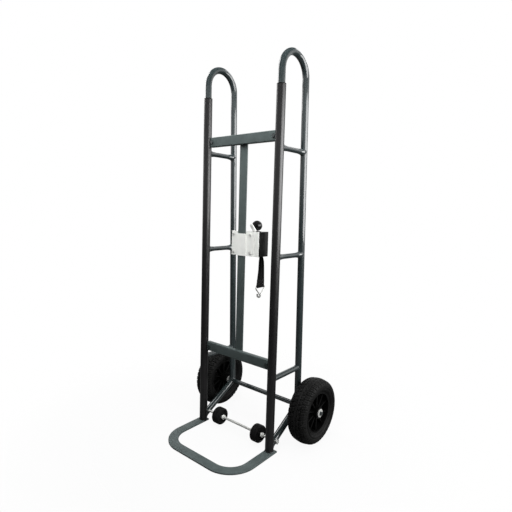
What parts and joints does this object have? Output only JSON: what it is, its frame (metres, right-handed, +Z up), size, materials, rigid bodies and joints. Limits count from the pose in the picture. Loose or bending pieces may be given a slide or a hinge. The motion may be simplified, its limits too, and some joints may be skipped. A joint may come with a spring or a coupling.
{
  "type": "appliance hand truck",
  "caption": "Tall steel appliance hand truck with looped handles, bent flat-bar toe, large rear wheels, small rollers and a crank-wound strap with a wire hook.",
  "frame": {"origin": "middle of the footprint on the floor, between the toe plate's front edge and the wheels' rear edge", "axes": "+Z up, +X from the left rail to the right rail, -Y towards the toe plate"},
  "size_m": [0.6126, 0.548, 1.5199],
  "materials": {
    "frame_paint": "gloss",
    "rail_paint": "satin",
    "collar_plastic": "matte",
    "zinc_plated_steel": "bright zinc",
    "tyre_rubber": "matte",
    "rim_plastic": "satin",
    "roller_rubber": "matte",
    "bush_nylon": "satin",
    "gloss_black_plastic": "gloss",
    "strap_webbing": "woven"
  },
  "bodies": {
    "frame": {"left_rail": "rail_paint", "right_rail": "rail_paint", "left_rail_collar": "collar_plastic", "right_rail_collar": "collar_plastic", "left_side_tube": "frame_paint", "right_side_tube": "frame_paint", "left_upper_spindle": "frame_paint", "right_upper_spindle": "frame_paint", "left_middle_spindle": "frame_paint", "right_middle_spindle": "frame_paint", "left_lower_rung": "frame_paint", "right_lower_rung": "frame_paint", "upper_cross_channel": "frame_paint", "lower_cross_channel": "frame_paint", "rail_lugs": "frame_paint", "lug_bolts": "frame_paint", "lug_nuts": "frame_paint", "centre_bar": "frame_paint", "toe_plate": "frame_paint", "axle_tube": "frame_paint", "axle": "frame_paint", "axle_washers": "zinc_plated_steel", "axle_cotters": "zinc_plated_steel", "roller_axle": "zinc_plated_steel", "roller_stops": "zinc_plated_steel", "roller_axle_nuts": "zinc_plated_steel", "winder_bracket": "zinc_plated_steel", "reel_plate": "zinc_plated_steel", "clamp_screws": "zinc_plated_steel", "reel_casing": "gloss_black_plastic", "casing_screws": "zinc_plated_steel", "pawl_pin": "zinc_plated_steel", "pawl_spring": "zinc_plated_steel", "strap_tail": "strap_webbing"},
    "left_wheel": {"left_tyre": "tyre_rubber", "left_rim": "rim_plastic", "left_wheel_bush": "bush_nylon"},
    "right_wheel": {"right_tyre": "tyre_rubber", "right_rim": "rim_plastic", "right_wheel_bush": "bush_nylon"},
    "left_small_wheel": {"left_roller": "roller_rubber", "left_roller_bush": "bush_nylon"},
    "right_small_wheel": {"right_roller": "roller_rubber", "right_roller_bush": "bush_nylon"},
    "reel": {"reel_shaft": "zinc_plated_steel", "ratchet_wheel": "zinc_plated_steel", "spool": "bush_nylon", "strap_roll": "strap_webbing", "crank_arm": "zinc_plated_steel", "crank_nut": "zinc_plated_steel", "knob_stud": "zinc_plated_steel", "ball_knob": "gloss_black_plastic"},
    "holding_pawl": {"pawl": "zinc_plated_steel"},
    "hook": {"strap_hook": "zinc_plated_steel"}
  },
  "joints": [
    {"name": "left_wheel_spin", "type": "hinge", "parent": "frame", "child": "left_wheel", "pos_m": [-0.26, 0.143, 0.131], "axis": [1, 0, 0], "continuous": true},
    {"name": "right_wheel_spin", "type": "hinge", "parent": "frame", "child": "right_wheel", "pos_m": [0.26, 0.143, 0.131], "axis": [1, 0, 0], "continuous": true},
    {"name": "left_roller_spin", "type": "hinge", "parent": "frame", "child": "left_small_wheel", "pos_m": [-0.107, -0.014, 0.0395], "axis": [1, 0, 0], "continuous": true},
    {"name": "right_roller_spin", "type": "hinge", "parent": "frame", "child": "right_small_wheel", "pos_m": [0.107, -0.014, 0.0395], "axis": [1, 0, 0], "continuous": true},
    {"name": "reel_crank", "type": "hinge", "parent": "frame", "child": "reel", "pos_m": [0.048, 0.01485, 0.8], "axis": [0, 1, 0], "continuous": true},
    {"name": "pawl_release", "type": "hinge", "parent": "frame", "child": "holding_pawl", "pos_m": [0.026, -0.012, 0.779], "axis": [0, 1, 0], "range_deg": [0, 20], "stiffness_Nm_per_rad": 0.02, "springref_deg": -17.19},
    {"name": "hook_swing", "type": "hinge", "parent": "frame", "child": "hook", "pos_m": [0.073, 0.01485, 0.63], "axis": [0, 1, 0], "range_deg": [-75, 75]}
  ]
}
